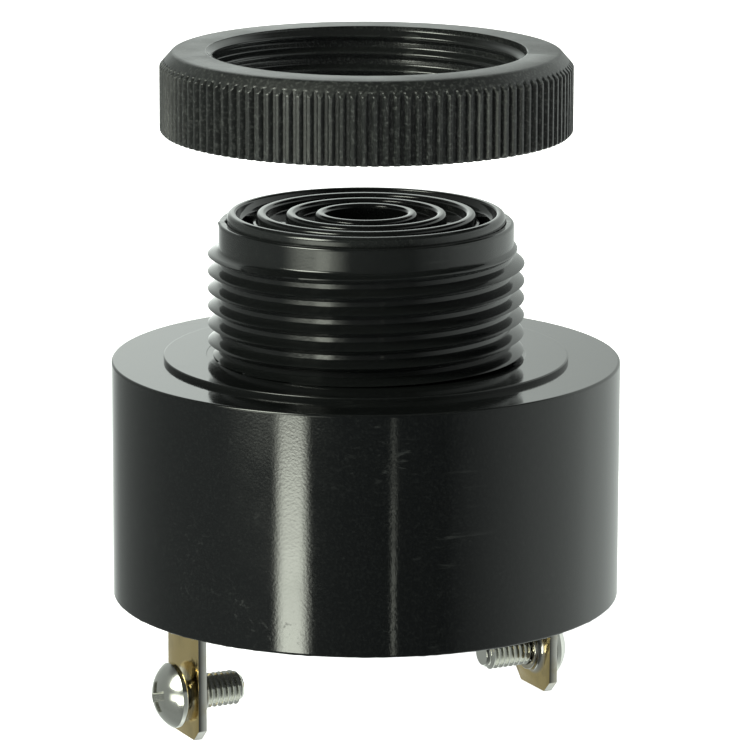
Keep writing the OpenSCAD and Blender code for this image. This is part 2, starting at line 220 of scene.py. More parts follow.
def makeRubMarks(s):
    tree, given, out = startGroup("rubMarks", {"Lengthwise": 90.0, "Across": 2600.0}, ["Mask"])
    mapping = tree.nodes.new("ShaderNodeMapping")
    plug(mapping.inputs["Vector"], objectPlace(tree))
    mapping.inputs["Rotation"].default_value = s["turned"]
    stretch = tree.nodes.new("ShaderNodeCombineXYZ")
    for socket, key in zip(stretch.inputs, ("Lengthwise", "Across", "Across")):
        plug(socket, given[key])
    plug(mapping.inputs["Scale"], stretch.outputs[0])
    streak = spread(noise(mapping.outputs[0], 1.0), *s["streaks"])
    where = spread(noise(objectPlace(tree), s["patch"]), *s["patchRange"])
    plug(out["Mask"], times(streak, where))
    return tree


makers = {"grain": makeMouldGrain, "wearAndHighlight": makeEdgeWearAndHighlight, "dust": makeDust, "rub": makeRubMarks}
effects = {key: make(effectLooks[key]) for key, make in makers.items()}


def effect(tree, name, **values):
    node = tree.nodes.new("ShaderNodeGroup")
    node.node_tree = effects[name]
    for label, value in values.items():
        node.inputs[label].default_value = value
    return node.outputs


def startMaterial(name, **constants):
    material = bpy.data.materials.new(name)
    material.use_nodes = True
    tree = material.node_tree
    shader = next(n for n in tree.nodes if n.type == "BSDF_PRINCIPLED")
    for label, value in constants.items():
        shader.inputs[label].default_value = value
    return material, tree, shader


def bumpFrom(height, strength, depth):
    node = height.id_data.nodes.new("ShaderNodeBump")
    for label, value in (("Strength", strength), ("Distance", depth), ("Height", height)):
        plug(node.inputs[label], value)
    return node.outputs[0]


def wire(shader, colour, rough, normal):
    for label, source in (("Base Color", colour), ("Roughness", rough), ("Normal", normal)):
        plug(shader.inputs[label], source)


# moulded plastics: dark base, patchy sheen, dust, rub marks and worn edges; on the ring nut the worn edges are
# also a painted highlight, and the housing's face and nose get a painted lift

plasticLooks = {
    "housing": {"colour": (0.0026, 0.003, 0.0032, 1), "dustAndPaintedLightColour": (0.08, 0.087, 0.083, 1), "rough": (0.05, 0.11),
                "grain": 4600, "bump": 0.16, "mottle": 0.05, "dust": 0.06, "wearAndHighlightShare": 0.05, "rub": 0.14,
                # the last two set a painted lift: the face and the nose are made paler above a height, to
                # brighten their shaded threads
                "film": 0.045, "filmFrom": -0.5},
    "grille": {"colour": (0.01, 0.011, 0.011, 1), "dustAndPaintedLightColour": (0.09, 0.097, 0.09, 1), "rough": (0.06, 0.12),
               "grain": 5200, "bump": 0.08, "mottle": 0.08, "dust": 0.16, "wearAndHighlightShare": 0.05, "rub": 0.06},
    "nut": {"colour": (0.0095, 0.0104, 0.0104, 1), "dustAndPaintedLightColour": (0.13, 0.138, 0.13, 1), "rough": (0.3, 0.42),
            # its worn edges are set high, 0.2, as a painted highlight along the ridges of the flutes
            "grain": 4200, "bump": 0.75, "mottle": 0.4, "dust": 0.12, "wearAndHighlightShare": 0.2, "rub": 0.1,
            "bore": 13.55, "boreFade": 0.1, "boreGrain": 0.15},
    "cover": {"colour": (0.012, 0.013, 0.0135, 1), "dustAndPaintedLightColour": (0.1, 0.1, 0.1, 1), "rough": (0.45, 0.6),
              "grain": 3600, "bump": 0.3, "mottle": 0.05, "dust": 0.12, "wearAndHighlightShare": 0.05, "rub": 0.06},
}
patchRange = (0.3, 0.7)      # the part of the patch noise over which a sheen or a blotch changes
plasticShared = {
    "mottleRange": (0.5, 0.75), "boreSheen": 0.25, "rubRough": 0.12, "dustRough": 0.4, "relief": 0.02,
}


def makePlastic(name, look, shared):
    material, tree, shader = startMaterial(name, IOR=1.5)
    grain = effect(tree, "grain", Grain=look["grain"])
    dust = effect(tree, "dust", Amount=look["dust"])
    wearAndHighlight = effect(tree, "wearAndHighlight")
    rub = effect(tree, "rub")
    coarse = 1.0
    if "bore" in look:      # the bore is smoother than the outside
        axes = objectAxes(tree)
        coarse = spread(distance(axes["X"], axes["Y"]), look["bore"] * mm,
                        (look["bore"] + look["boreFade"]) * mm, look["boreGrain"], 1.0)
    mottle = spread(grain["Height"], *shared["mottleRange"], 0.0, look["mottle"])
    paler = times(mottle, coarse)
    # paler at worn edges, which on the ring nut also paints a highlight, and at rub marks
    for mask, share in ((wearAndHighlight["Mask"], look["wearAndHighlightShare"]), (rub["Mask"], look["rub"])):
        paler = calc("MAXIMUM", paler, times(mask, share))
    if "film" in look:      # a painted lift: the face and the nose are made paler to brighten their shaded threads, the wall below is not
        upper = calc("GREATER_THAN", objectAxes(tree)["Z"], look["filmFrom"] * mm)
        paler = calc("MULTIPLY_ADD", upper, look["film"], paler)
    # the pale colour gives real dust, mottle and wear, and also the painted lift and the painted highlight
    marksAndPaintedLight = mixColour(paler, look["colour"], look["dustAndPaintedLightColour"])
    dustMarksAndPaintedLight = mixColour(dust["Mask"], marksAndPaintedLight, look["dustAndPaintedLightColour"])
    sheen = spread(grain["Patch"], *patchRange, *look["rough"])
    least = shared["boreSheen"]
    sheen = calc("MULTIPLY_ADD", times(sheen, coarse), 1 - least, times(sheen, least))
    marked = plus(sheen, times(rub["Mask"], shared["rubRough"]))
    dulled = times(dust["Mask"], shared["dustRough"])
    raised = bumpFrom(times(grain["Height"], coarse), look["bump"], shared["relief"] * mm)
    wire(shader, dustMarksAndPaintedLight, plus(marked, dulled, clamp=True), raised)
    return material


# plated metals: bright, with tarnish patches, fine rub marks and a tint on the rolled faces, which on the tabs
# is a painted tan reflection

metalLooks = {
    # the tab's face colour is a painted tan reflection; its edge colour is the plating's own
    "tab": {"face": (0.77, 0.595, 0.28, 1), "edge": (0.56, 0.55, 0.52, 1), "dull": (0.42, 0.35, 0.2, 1),
            "rough": (0.1, 0.2), "bump": 0.06,
            "collarAt": -28.1, "collar": 2.5, "collarFade": 0.3, "collarTint": 0.25},
    "screw": {"face": (0.74, 0.74, 0.69, 1), "dull": (0.54, 0.54, 0.48, 1), "rough": (0.1, 0.2), "bump": 0.05},
    "lead": {"face": (0.7, 0.69, 0.66, 1), "dull": (0.5, 0.49, 0.46, 1), "rough": (0.25, 0.35), "bump": 0.1},
    "brass": {"face": (0.72, 0.53, 0.2, 1), "dull": (0.5, 0.34, 0.12, 1), "rough": (0.22, 0.34), "bump": 0.1},
    "silver": {"face": (0.74, 0.72, 0.66, 1), "edge": (0.66, 0.6, 0.5, 1), "dull": (0.6, 0.57, 0.5, 1),
               "rough": (0.4, 0.55), "bump": 0.2},
}
metalShared = {
    "facingAlongX": (0.6, 0.9), "tarnishPatch": 420, "tarnishRange": (0.5, 0.8), "tarnish": 0.55, "grain": 6000,
    "patch": 500, "rubLength": 140, "rubAcross": 5200, "rubRough": 0.15, "relief": 0.01,
}


def metalColour(tree, look, shared):
    # faces turned along X take the face colour, which on the tabs is a painted tan reflection
    facingAlongX = spread(calc("ABSOLUTE", normalAxes(tree)["X"]), *shared["facingAlongX"])
    if "collar" in look:      # near the screw's collar the painted tan reflection mostly gives way to the plating's own colour
        axes = objectAxes(tree)
        up = minus(axes["Z"], look["collarAt"] * mm)
        beyond = spread(distance(axes["Y"], up), (look["collar"] - look["collarFade"]) * mm,
                        look["collar"] * mm, look["collarTint"])
        facingAlongX = times(facingAlongX, beyond)
    clean = mixColour(facingAlongX, look.get("edge", look["face"]), look["face"])
    patch = effect(tree, "grain", Patch=shared["tarnishPatch"])["Patch"]
    tarnish = spread(patch, *shared["tarnishRange"], 0.0, shared["tarnish"])
    return mixColour(tarnish, clean, look["dull"])


def makeMetal(name, look, shared):
    material, tree, shader = startMaterial(name, Metallic=1.0)
    grain = effect(tree, "grain", Grain=shared["grain"], Patch=shared["patch"])
    rub = effect(tree, "rub", Lengthwise=shared["rubLength"], Across=shared["rubAcross"])
    sheen = spread(grain["Patch"], *patchRange, *look["rough"])
    marked = plus(sheen, times(rub["Mask"], shared["rubRough"]))
    raised = bumpFrom(rub["Mask"], look["bump"], shared["relief"] * mm)
    wire(shader, metalColour(tree, look, shared), marked, raised)
    return material


materials = {}
for kind, make, looks, shared in (("Plastic", makePlastic, plasticLooks, plasticShared),
                                  ("Metal", makeMetal, metalLooks, metalShared)):
    for key, look in looks.items():
        materials[key + kind] = make(key + kind, look, shared)
print("materials for mouldings and metals:", len(materials))


# mesh helpers: sections are turned about Z, in millimetres, with the outside on the right of their path

def arcPoints(start, corner, end, radius, steps):
    toStart = (start - corner) / np.linalg.norm(start - corner)
    toEnd = (end - corner) / np.linalg.norm(end - corner)
    half = math.acos(float(np.clip(toStart @ toEnd, -1, 1))) / 2
    middle = (toStart + toEnd) / np.linalg.norm(toStart + toEnd)
    centre = corner + middle * radius / math.sin(half)
    first = corner + toStart * radius / math.tan(half) - centre
    last = corner + toEnd * radius / math.tan(half) - centre
    sweep = math.acos(float(np.clip(first @ last / radius ** 2, -1, 1)))
    share = np.linspace(0, 1, steps + 1)
    return [centre + (math.sin((1 - s) * sweep) * first + math.sin(s * sweep) * last) / math.sin(sweep)
            for s in share]


def softSection(points, steps=5, guard=0.05):
    # points are (radius, height, corner radius); a guard row beside each curve keeps flats flat
    section = []
    places = [np.array(p[:2], float) for p in points]
    for i, (place, point) in enumerate(zip(places, points)):
        if point[2] <= 0:
            section.append(tuple(place))
            continue
        curve = arcPoints(places[i - 1], place, places[i + 1], point[2], steps)
        for edge, far in ((curve[0], places[i - 1]), (curve[-1], places[i + 1])):
            away = far - edge
            reach = np.linalg.norm(away)
            if reach > 3 * guard:
                row = tuple(edge + away / reach * guard)
                curve = [row] + curve if edge is curve[0] else curve + [row]
        section.extend(tuple(p) for p in curve)
    return section


def roundAngles(columns):
    return np.arange(columns) * 2 * math.pi / columns


def spinRows(section, columns):
    angles = roundAngles(columns)
    rows = np.zeros((len(section), columns, 3))
    for row, (radius, height) in zip(rows, section):
        row[:, 0] = radius * np.cos(angles)
        row[:, 1] = radius * np.sin(angles)
        row[:, 2] = height
    return rows


def addRows(builder, rows, closed=False, skip=()):
    # rows is rows x columns x 3; skip holds (row, column) of quads that stay open
    count, columns = rows.shape[:2]
    verts = [[builder.verts.new(Vector(p) * mm) for p in row] for row in rows]
    for i in range(count if closed else count - 1):
        for k in range(columns):
            if (i, k) in skip:
                continue
            j, m = (i + 1) % count, (k + 1) % columns
            builder.faces.new((verts[i][k], verts[i][m], verts[j][m], verts[j][k]))
    return verts


def tidyMesh(builder, name, smoothAngle=32):
    bmesh.ops.remove_doubles(builder, verts=builder.verts, dist=mergeDistance)
    bmesh.ops.dissolve_degenerate(builder, edges=builder.edges, dist=mergeDistance / 4)
    mesh = bpy.data.meshes.new(name)
    builder.to_mesh(mesh)
    builder.free()
    finishMesh(mesh, smoothAngle)
    return mesh


def finishMesh(mesh, smoothAngle):
    mesh.polygons.foreach_set("use_smooth", [True] * len(mesh.polygons))
    mesh.set_sharp_from_angle(angle=math.radians(smoothAngle))


def showPiece(name, mesh, material, body, node):
    mesh.materials.clear()
    mesh.materials.append(material)
    piece = addObject(name, mesh)
    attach(piece, body)
    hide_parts(node)
    print(name, "made:", len(mesh.polygons), "faces")


def carve(target, tool, operation):
    # joins or cuts two closed meshes and gives back one mesh
    keep, other = (addObject(m.name, m) for m in (target, tool))
    cut = keep.modifiers.new("carve", "BOOLEAN")
    cut.operation = operation
    cut.solver = "EXACT"
    cut.object = other
    made = evaluatedMesh(keep)
    for spare in (keep, other):
        bpy.data.objects.remove(spare)
    return made


# geometry trees

def startTree(name, inputs):
    # inputs gives each setting's kind; a Length is a float that the settings hold in millimetres
    tree = bpy.data.node_groups.new(name, "GeometryNodeTree")
    tree.interface.new_socket("Geometry", in_out="OUTPUT", socket_type="NodeSocketGeometry")
    keys = {}
    for label, kind in inputs.items():
        socketType = "NodeSocket" + kind.replace("Length", "Float")
        socket = tree.interface.new_socket(label, in_out="INPUT", socket_type=socketType)
        keys[label] = (socket.identifier, kind)
    given = tree.nodes.new("NodeGroupInput").outputs
    return tree, keys, given


def startGrid(tree, columns, rows):
    # a unit grid with its share round the axis and its share of the rows
    grid = tree.nodes.new("GeometryNodeMeshGrid")
    for axis, count in (("X", columns), ("Y", rows)):
        grid.inputs["Size " + axis].default_value = 1
        plug(grid.inputs["Vertices " + axis], plus(count, 1))
    place = split(tree.nodes.new("GeometryNodeInputPosition").outputs[0])
    share, rise = (plus(place[axis], 0.5) for axis in ("X", "Y"))
    return grid.outputs["Mesh"], share, rise


def endTree(tree, grid, share, radius, height, inside, material):
    angle = times(share, 2 * math.pi)
    place = tree.nodes.new("ShaderNodeCombineXYZ")
    plug(place.inputs[0], times(radius, calc("COSINE", angle)))
    plug(place.inputs[1], times(radius, calc("SINE", angle)))
    plug(place.inputs[2], height)
    kinds = ("SetPosition", "MergeByDistance", "FlipFaces", "RealizeInstances", "SetMaterial")
    chain = [tree.nodes.new("GeometryNode" + kind) for kind in kinds] + [tree.nodes.new("NodeGroupOutput")]
    move, merge, flip, paint = chain[0], chain[1], chain[2], chain[4]
    plug(move.inputs["Geometry"], grid)
    plug(move.inputs["Position"], place.outputs[0])
    merge.inputs["Distance"].default_value = mergeDistance
    plug(flip.inputs["Selection"], inside)
    plug(paint.inputs["Material"], material)
    for first, second in zip(chain, chain[1:]):
        plug(second.inputs[0], first.outputs[0])


def makeThreadTree():
    # a helical thread whose rows follow the helix; it is cut flat at its bottom and top
    tree, keys, given = startTree("helicalThread", {
        "columns": "Int", "rows": "Int", "rowsPerTurn": "Int", "firstRow": "Length", "pitch": "Length",
        "crestAt": "Length", "rootRadius": "Length", "depth": "Length", "crestShare": "Float",
        "flankShare": "Float", "rounding": "Float", "bottom": "Length", "top": "Length",
        "bottomFade": "Length", "topFade": "Length", "inside": "Bool", "material": "Material"})
    grid, share, rise = startGrid(tree, given["columns"], given["rows"])
    turns = divide(times(rise, given["rows"]), given["rowsPerTurn"])
    free = calc("MULTIPLY_ADD", plus(turns, share), given["pitch"], given["firstRow"])
    height = calc("MAXIMUM", calc("MINIMUM", free, given["top"]), given["bottom"])
    phase = minus(divide(minus(height, given["crestAt"]), given["pitch"]), share)
    away = calc("ABSOLUTE", minus(phase, calc("ROUND", phase)))
    halfCrest = times(given["crestShare"], 0.5)
    down = divide(minus(away, halfCrest), given["flankShare"])
    slope = minus(1.0, down, clamp=True)
    curve = times(times(slope, slope), calc("MULTIPLY_ADD", slope, -2.0, 3.0))
    shape = calc("MULTIPLY_ADD", minus(curve, slope), given["rounding"], slope)
    ends = ((height, given["bottom"], given["bottomFade"]), (given["top"], height, given["topFade"]))
    fades = [divide(minus(a, b), fade, clamp=True) for a, b, fade in ends]
    deep = times(given["depth"], times(*fades))
    radius = calc("MULTIPLY_ADD", deep, shape, given["rootRadius"])
    endTree(tree, grid, share, radius, height, given["inside"], given["material"])
    return tree, keys


# share of the rows, and of the wall's height that they reach
fluteRows = ((0.12, 0.035), (0.2, 0.1), (0.28, 0.78), (0.62, 0.955), (0.8, 0.985), (0.94, 0.999))


def makeFluteTree():
    # a fluted wall: flutes round the side, cut by a soft-edged bevel above and a small chamfer below
    tree, keys, given = startTree("flutedWall", {
        "flutes": "Int", "columnsPerFlute": "Int", "rows": "Int", "outerRadius": "Length",
        "fluteDepth": "Length", "crestShare": "Float", "rootShare": "Float", "bottom": "Length",
        "top": "Length", "bevelHeight": "Length", "bevelWidth": "Length", "bevelEdge": "Length",
        "footChamfer": "Length", "material": "Material"})
    columns = times(given["flutes"], given["columnsPerFlute"])
    grid, share, rise = startGrid(tree, columns, given["rows"])
    closer = tree.nodes.new("ShaderNodeFloatCurve")      # rows crowd at the chamfer and the bevel
    curve = closer.mapping.curves[0]
    for place in fluteRows:
        curve.points.new(*place)
    for point in curve.points:
        point.handle_type = "VECTOR"
    closer.mapping.update()
    plug(closer.inputs["Value"], rise)
    tall = minus(given["top"], given["bottom"])
    height = calc("MULTIPLY_ADD", closer.outputs[0], tall, given["bottom"])
    turn = times(share, given["flutes"])
    away = calc("ABSOLUTE", minus(turn, calc("ROUND", turn)))
    crest = times(given["crestShare"], 0.5)
    root = minus(0.5, times(given["rootShare"], 0.5))
    hollow = spread(away, crest, root, smooth=True)
    domed = times(calc("POWER", away, 2.0), 0.8)      # crests are slightly round
    deep = times(given["fluteDepth"], calc("MAXIMUM", hollow, domed))
    flute = minus(given["outerRadius"], deep)
    under = minus(given["top"], height)
    along = minus(1.0, divide(under, given["bevelHeight"]))
    inset = times(given["bevelWidth"], along)
    soft = minus(1.0, divide(under, given["bevelEdge"]), clamp=True)
    eased = times(times(soft, soft), times(soft, soft))
    bevel = minus(minus(given["outerRadius"], inset), times(eased, given["bevelEdge"]))
    over = minus(height, given["bottom"])
    foot = plus(minus(given["outerRadius"], given["footChamfer"]), over)
    radius = calc("MINIMUM", calc("MINIMUM", flute, bevel), foot)
    endTree(tree, grid, share, radius, height, False, given["material"])
    return tree, keys


def growMesh(made, s, material):
    tree, keys = made
    values = {**s, "material": material}
    seed = addObject(tree.name, bpy.data.meshes.new(tree.name))
    modifier = seed.modifiers.new(tree.name, "NODES")
    modifier.node_group = tree
    for label, (identifier, kind) in keys.items():
        modifier[identifier] = values[label] * mm if kind == "Length" else values[label]
    grown = evaluatedMesh(seed)
    seed.modifiers.clear()
    bpy.data.objects.remove(seed)
    return grown


threadTree = makeThreadTree()
fluteTree = makeFluteTree()
threadRows = 16      # rows in one turn of a thread
shortestFade = 1e-6


def growThread(s, material):
    # enough rows are laid for the helix to reach past both ends
    below = math.ceil((s["crestAt"] - s["bottom"]) / s["pitch"]) + 1
    above = math.ceil((s["top"] - s["crestAt"]) / s["pitch"])
    fades = {key: max(s[key], shortestFade) for key in ("bottomFade", "topFade")}
    return growMesh(threadTree, {
        **s, **fades, "rowsPerTurn": threadRows, "rows": (below + above) * threadRows,
        "firstRow": s["crestAt"] - below * s["pitch"]}, material)


def endRing(mesh, height):
    # the points of a grown band at one of its flat ends, by angle, in millimetres
    ring = [v.co / mm for v in mesh.vertices if abs(v.co.z - height * mm) < endWithin]
    ring.sort(key=lambda p: math.atan2(p.y, p.x) % fullTurn)
    return np.array(ring)


def weld(builder, mesh):
    builder.from_mesh(mesh)
    bpy.data.meshes.remove(mesh)


# the crest's height at angle zero, from its height on the side that faces the camera
noseCrestAt = thread["crestAt"] - thread["facing"] / 360 * thread["pitch"]


# housing

housing = {
    "columns": 240, "bodyRadius": 21.75, "topFace": -0.4, "bottom": -20.9, "topEdge": 0.2, "bottomEdge": 0.18,
    "seatRadius": 17.3, "seatEdge": 0.1, "reliefRadius": 13.6, "reliefDepth": 0.03, "reliefEdge": 0.04,
    "noseTop": 11.4875, "lipEdge": 0.24, "mouthEdge": 0.08, "grilleBore": 11.9, "grilleSeat": 9.2875,
    "noseBore": 11.0, "ceiling": -2.9, "cavity": 19.0, "coverSeat": -18.5, "recess": 19.75, "recessEdge": 0.12,
    "threadTop": 9.6,
    "thread": {"crestShare": 0.5 / threadRows, "flankShare": 5.5 / threadRows, "rounding": 0.12,
               "bottomFade": 0, "topFade": 0.7, "inside": False},
    "burrAt": 156.0, "burrWidth": 2.2, "burrOut": 0.16,
    "flash": 0.035, "flashReach": 0.25, "flashRise": 1.5, "flashDip": -0.01,
    "flashWaves": (17, 29, 43, 61, 83), "flashSeed": 4,
    "footFlash": 0.09, "footReach": 0.2, "footWaves": (23, 37, 59, 89, 113), "footSeed": 7,
}


def wobble(angles, waves, seed):
    draw = np.random.default_rng(seed)
    total = np.zeros_like(angles)
    for wave in waves:
        total += np.sin(wave * angles + draw.uniform(0, 2 * math.pi)) * draw.uniform(0.5, 1.0)
    return total / len(waves)


def makeHousing(s):
    root, lip = thread["rootRadius"], s["noseTop"]
    band = growThread({
        **s["thread"], "columns": s["columns"], "pitch": thread["pitch"], "crestAt": noseCrestAt,
        "rootRadius": root, "depth": thread["crestRadius"] - root,
        "bottom": -s["reliefDepth"], "top": s["threadTop"]}, materials["housingPlastic"])
    section = softSection([
        (root, s["threadTop"], 0), (root, lip, s["lipEdge"]), (s["grilleBore"], lip, s["mouthEdge"]),
        (s["grilleBore"], s["grilleSeat"], 0), (s["noseBore"], s["grilleSeat"], 0),
        (s["noseBore"], s["ceiling"], 0), (s["cavity"], s["ceiling"], 0), (s["cavity"], s["coverSeat"], 0),
        (s["recess"], s["coverSeat"], 0), (s["recess"], s["bottom"], s["recessEdge"]),
        (s["bodyRadius"], s["bottom"], s["bottomEdge"]), (s["bodyRadius"], s["topFace"], s["topEdge"]),
        (s["seatRadius"], s["topFace"], 0), (s["seatRadius"], 0, s["seatEdge"]),
        (s["reliefRadius"], 0, s["reliefEdge"]), (s["reliefRadius"], -s["reliefDepth"], 0)])
    rows = spinRows(section, s["columns"])
    angles = roundAngles(s["columns"])
    out = rows[:, :, :2] / np.linalg.norm(rows[:, :, :2], axis=2, keepdims=True)
    # flash along the mouth of the nose and the foot of the body, and one burr on the rim
    ragged = wobble(angles, s["flashWaves"], s["flashSeed"]) * s["flash"]
    footRagged = np.maximum(wobble(angles, s["footWaves"], s["footSeed"]), 0) * s["footFlash"]
    degrees = (np.degrees(angles) - s["burrAt"] + 180) % 360 - 180
    burr = np.exp(-(degrees / s["burrWidth"]) ** 2) * s["burrOut"]
    for row, (radius, height) in enumerate(section):
        nearLip = max(0.0, 1 - abs(height - lip) / s["flashReach"]) if radius > s["noseBore"] else 0.0
        inner = nearLip if radius < (root + s["grilleBore"]) / 2 else 0.0
        rows[row, :, :2] += out[row] * (burr * nearLip - np.maximum(ragged, 0) * inner)[:, None]
        rows[row, :, 2] += np.maximum(ragged, s["flashDip"]) * inner * s["flashRise"]
        if radius > s["recess"]:
            rows[row, :, 2] -= footRagged * max(0.0, 1 - abs(height - s["bottom"]) / s["footReach"])
    builder = bmesh.new()
    addRows(builder, np.concatenate([rows, endRing(band, -s["reliefDepth"])[None]]))
    weld(builder, band)
    return tidyMesh(builder, "housingShell")


showPiece("housingShell", makeHousing(housing), materials["housingPlastic"],
          "buzzer", "housing")


# sound grille: rim and ringed plate, joined by webs across the open outer groove

grille = {
    "columns": 360, "outer": 11.85, "bottom": 9.2875, "top": 12.2875, "grooveFloor": 11.3875,
    "rim": 0.8, "rimCrest": 0.46, "rimFlat": 0.14, "rimSteps": (10, 5), "rimLedge": 0.4,
    "ring": 0.9, "ringPitch": 2.5, "rings": 3, "ringFlat": 0.24, "ringSteps": (5, 5), "ringLedge": 0.25,
    "webs": 5, "webColumns": 7, "firstWeb": 63.5,
    # away from the wall, the rim's as a share of its ledge, and up from the groove's floor
    "rimFoot": ((0.2, 0.35), (0.5, 0.12), (1, 0)), "ringFoot": ((0.06, 0.04), (0, 0.14)),
    "fillet": ((0, 0.12), (0.035, 0.035), (0.12, 0)),
}


def crown(outer, width, bend, flat, top, steps):
    # a ring's top: a round of the given bend, a narrow flat, and a round over the rest of the width
    rest = width - bend - flat
    quarters = ((bend, outer - bend, 0, steps[0]), (rest, outer - width + rest, math.pi / 2, steps[1]))
    return [(middle + radius * math.cos(a), top - radius + radius * math.sin(a))
            for radius, middle, start, count in quarters
            for a in np.linspace(start, start + math.pi / 2, count + 1)]


def makeGrille(s):
    slotInner, slotOuter = s["outer"] - s["ringPitch"], s["outer"] - s["rim"]
    floor = s["grooveFloor"]
    rim = [(s["outer"], s["bottom"])]
    rim += crown(s["outer"], s["rim"], s["rimCrest"], s["rimFlat"], s["top"], s["rimSteps"])
    rim += [(slotOuter - s["rimLedge"] * share, floor + up) for share, up in s["rimFoot"]]
    rim += [(slotOuter - s["rimLedge"], s["bottom"])]
    plate = [(slotInner + s["ringLedge"], s["bottom"]), (slotInner + s["ringLedge"], floor)]
    plate += [(slotInner + away, floor + up) for away, up in s["ringFoot"]]
    for i in range(1, s["rings"] + 1):
        outer = s["outer"] - i * s["ringPitch"]
        inner, following = outer - s["ring"], outer - s["ringPitch"]
        bend = (s["ring"] - s["ringFlat"]) / 2
        plate += crown(outer, s["ring"], bend, s["ringFlat"], s["top"], s["ringSteps"])
        if i < s["rings"]:      # groove floor with a small fillet at each side
            plate += [(inner - away, floor + up) for away, up in s["fillet"]]
            plate += [(following + away, floor + up) for away, up in reversed(s["fillet"])]
    plate += [(inner, s["bottom"])]
    webColumns = [[(round(s["firstWeb"] + i * 360 / s["webs"] - s["webColumns"] / 2) + k) % s["columns"]
                   for k in range(s["webColumns"])] for i in range(s["webs"])]
    crossed = [k for columns in webColumns for k in columns]
    builder = bmesh.new()
    rimVerts = addRows(builder, spinRows(rim, s["columns"]), True, {(len(rim) - 2, k) for k in crossed})
    plateVerts = addRows(builder, spinRows(plate, s["columns"]), True, {(0, k) for k in crossed})
    low = (plateVerts[0], rimVerts[-1])
    high = (plateVerts[1], rimVerts[-2])
    for columns in webColumns:
        for k in columns:
            m = (k + 1) % s["columns"]
            builder.faces.new((high[0][k], high[1][k], high[1][m], high[0][m]))
            builder.faces.new((low[0][m], low[1][m], low[1][k], low[0][k]))
        first, last = columns[0], (columns[-1] + 1) % s["columns"]
        builder.faces.new((low[0][first], low[1][first], high[1][first], high[0][first]))
        builder.faces.new((high[0][last], high[1][last], low[1][last], low[0][last]))
    return tidyMesh(builder, "soundGrilleRings")


showPiece("soundGrilleRings", makeGrille(grille), materials["grillePlastic"],
          "buzzer", "sound_grille")


# ring nut

nut = {
    "flutes": 120, "columnsPerFlute": 8, "rows": 40, "outerRadius": 17.5, "fluteDepth": 0.42,
    "crestShare": 0.34, "rootShare": 0.26, "bottom": 19.27, "top": 26.15, "footChamfer": 0.22,
    "bevelHeight": 1.25, "bevelWidth": 1.1, "bevelEdge": 0.22, "smooth": 38,
    "boreColumns": 240, "boreRadius": 13.58, "ridge": 0.6, "footLead": 0.35,
    "bore": {"crestShare": 1 / threadRows, "flankShare": 5 / threadRows, "rounding": 0.7,
             "bottomFade": 0.16, "topFade": 0.16, "inside": True},
}


def makeNut(s):
    wall = growMesh(fluteTree, s, materials["nutPlastic"])
    foot = s["bottom"] + s["footLead"]
    bore = growThread({
        **s["bore"], "columns": s["boreColumns"], "pitch": thread["pitch"],
        "crestAt": noseCrestAt + nutLift + thread["pitch"] / 2, "rootRadius": s["boreRadius"],
        "depth": -s["ridge"], "bottom": foot, "top": s["top"]}, materials["nutPlastic"])
    builder = bmesh.new()
    addRows(builder, spinRows([(s["boreRadius"], foot), (s["boreRadius"] + s["footLead"], s["bottom"])],
                              s["boreColumns"]))
    each = s["flutes"] * s["columnsPerFlute"] // s["boreColumns"]
    for height, inner, up in ((s["top"], s["boreRadius"], True),
                              (s["bottom"], s["boreRadius"] + s["footLead"], False)):
        outer = [builder.verts.new(Vector(p) * mm) for p in endRing(wall, height)]
        ring = [builder.verts.new(Vector(p) * mm) for p in spinRows([(inner, height)], s["boreColumns"])[0]]
        for k in range(s["boreColumns"]):
            m = (k + 1) % s["boreColumns"]
            span = [outer[(k * each + i) % len(outer)] for i in range(each + 1)]
            loop = span + [ring[m], ring[k]]
            builder.faces.new(loop if up else loop[::-1])
    weld(builder, wall)
    weld(builder, bore)
    return tidyMesh(builder, "ringNutFluted", s["smooth"])


showPiece("ringNutFluted", makeNut(nut), materials["nutPlastic"], "nut", "ring_nut")


# terminals: stamped tabs with rolled faces, sheared edges and a drawn collar for the screw

tab = {
    "across": 16.9, "thick": 0.8, "width": 6.3, "end": -31.7, "chamfer": 1.0, "shoulder": (1.0, 1.5),
    "coverBottom": -20.5, "tailRoot": -14.25, "tailTop": -10.65, "tailWidth": 3.0, "edge": 0.07,
    "holeAt": -28.1, "holeRadius": 1.53, "collar": 1.95, "collarHeight": 0.8, "collarEdge": 0.12,
    "collarRoot": -0.3, "fillet": 0.5, "filletSteps": 6, "drill": 3, "columns": 64, "smooth": 30,
}


def tabOutline(s):
    half, tail = s["width"] / 2, s["tailWidth"] / 2
    wide, stop = half + s["shoulder"][0], s["coverBottom"] - s["shoulder"][1]
    side = [(half - s["chamfer"], s["end"]), (half, s["end"] + s["chamfer"]), (half, stop), (wide, stop),
            (wide, s["coverBottom"]), (half, s["coverBottom"]), (half, s["tailRoot"]), (tail, s["tailRoot"]),
            (tail, s["tailTop"])]
    return side + [(-y, z) for y, z in reversed(side)]


def closedSpin(section, columns, name):
    builder = bmesh.new()
    addRows(builder, spinRows(section, columns))
    return tidyMesh(builder, name)


def layAlongX(mesh, side, place):
    mesh.transform(Matrix.Translation(Vector(place) * mm) @ Matrix.Rotation(side * math.pi / 2, 4, "Y"))
    return mesh


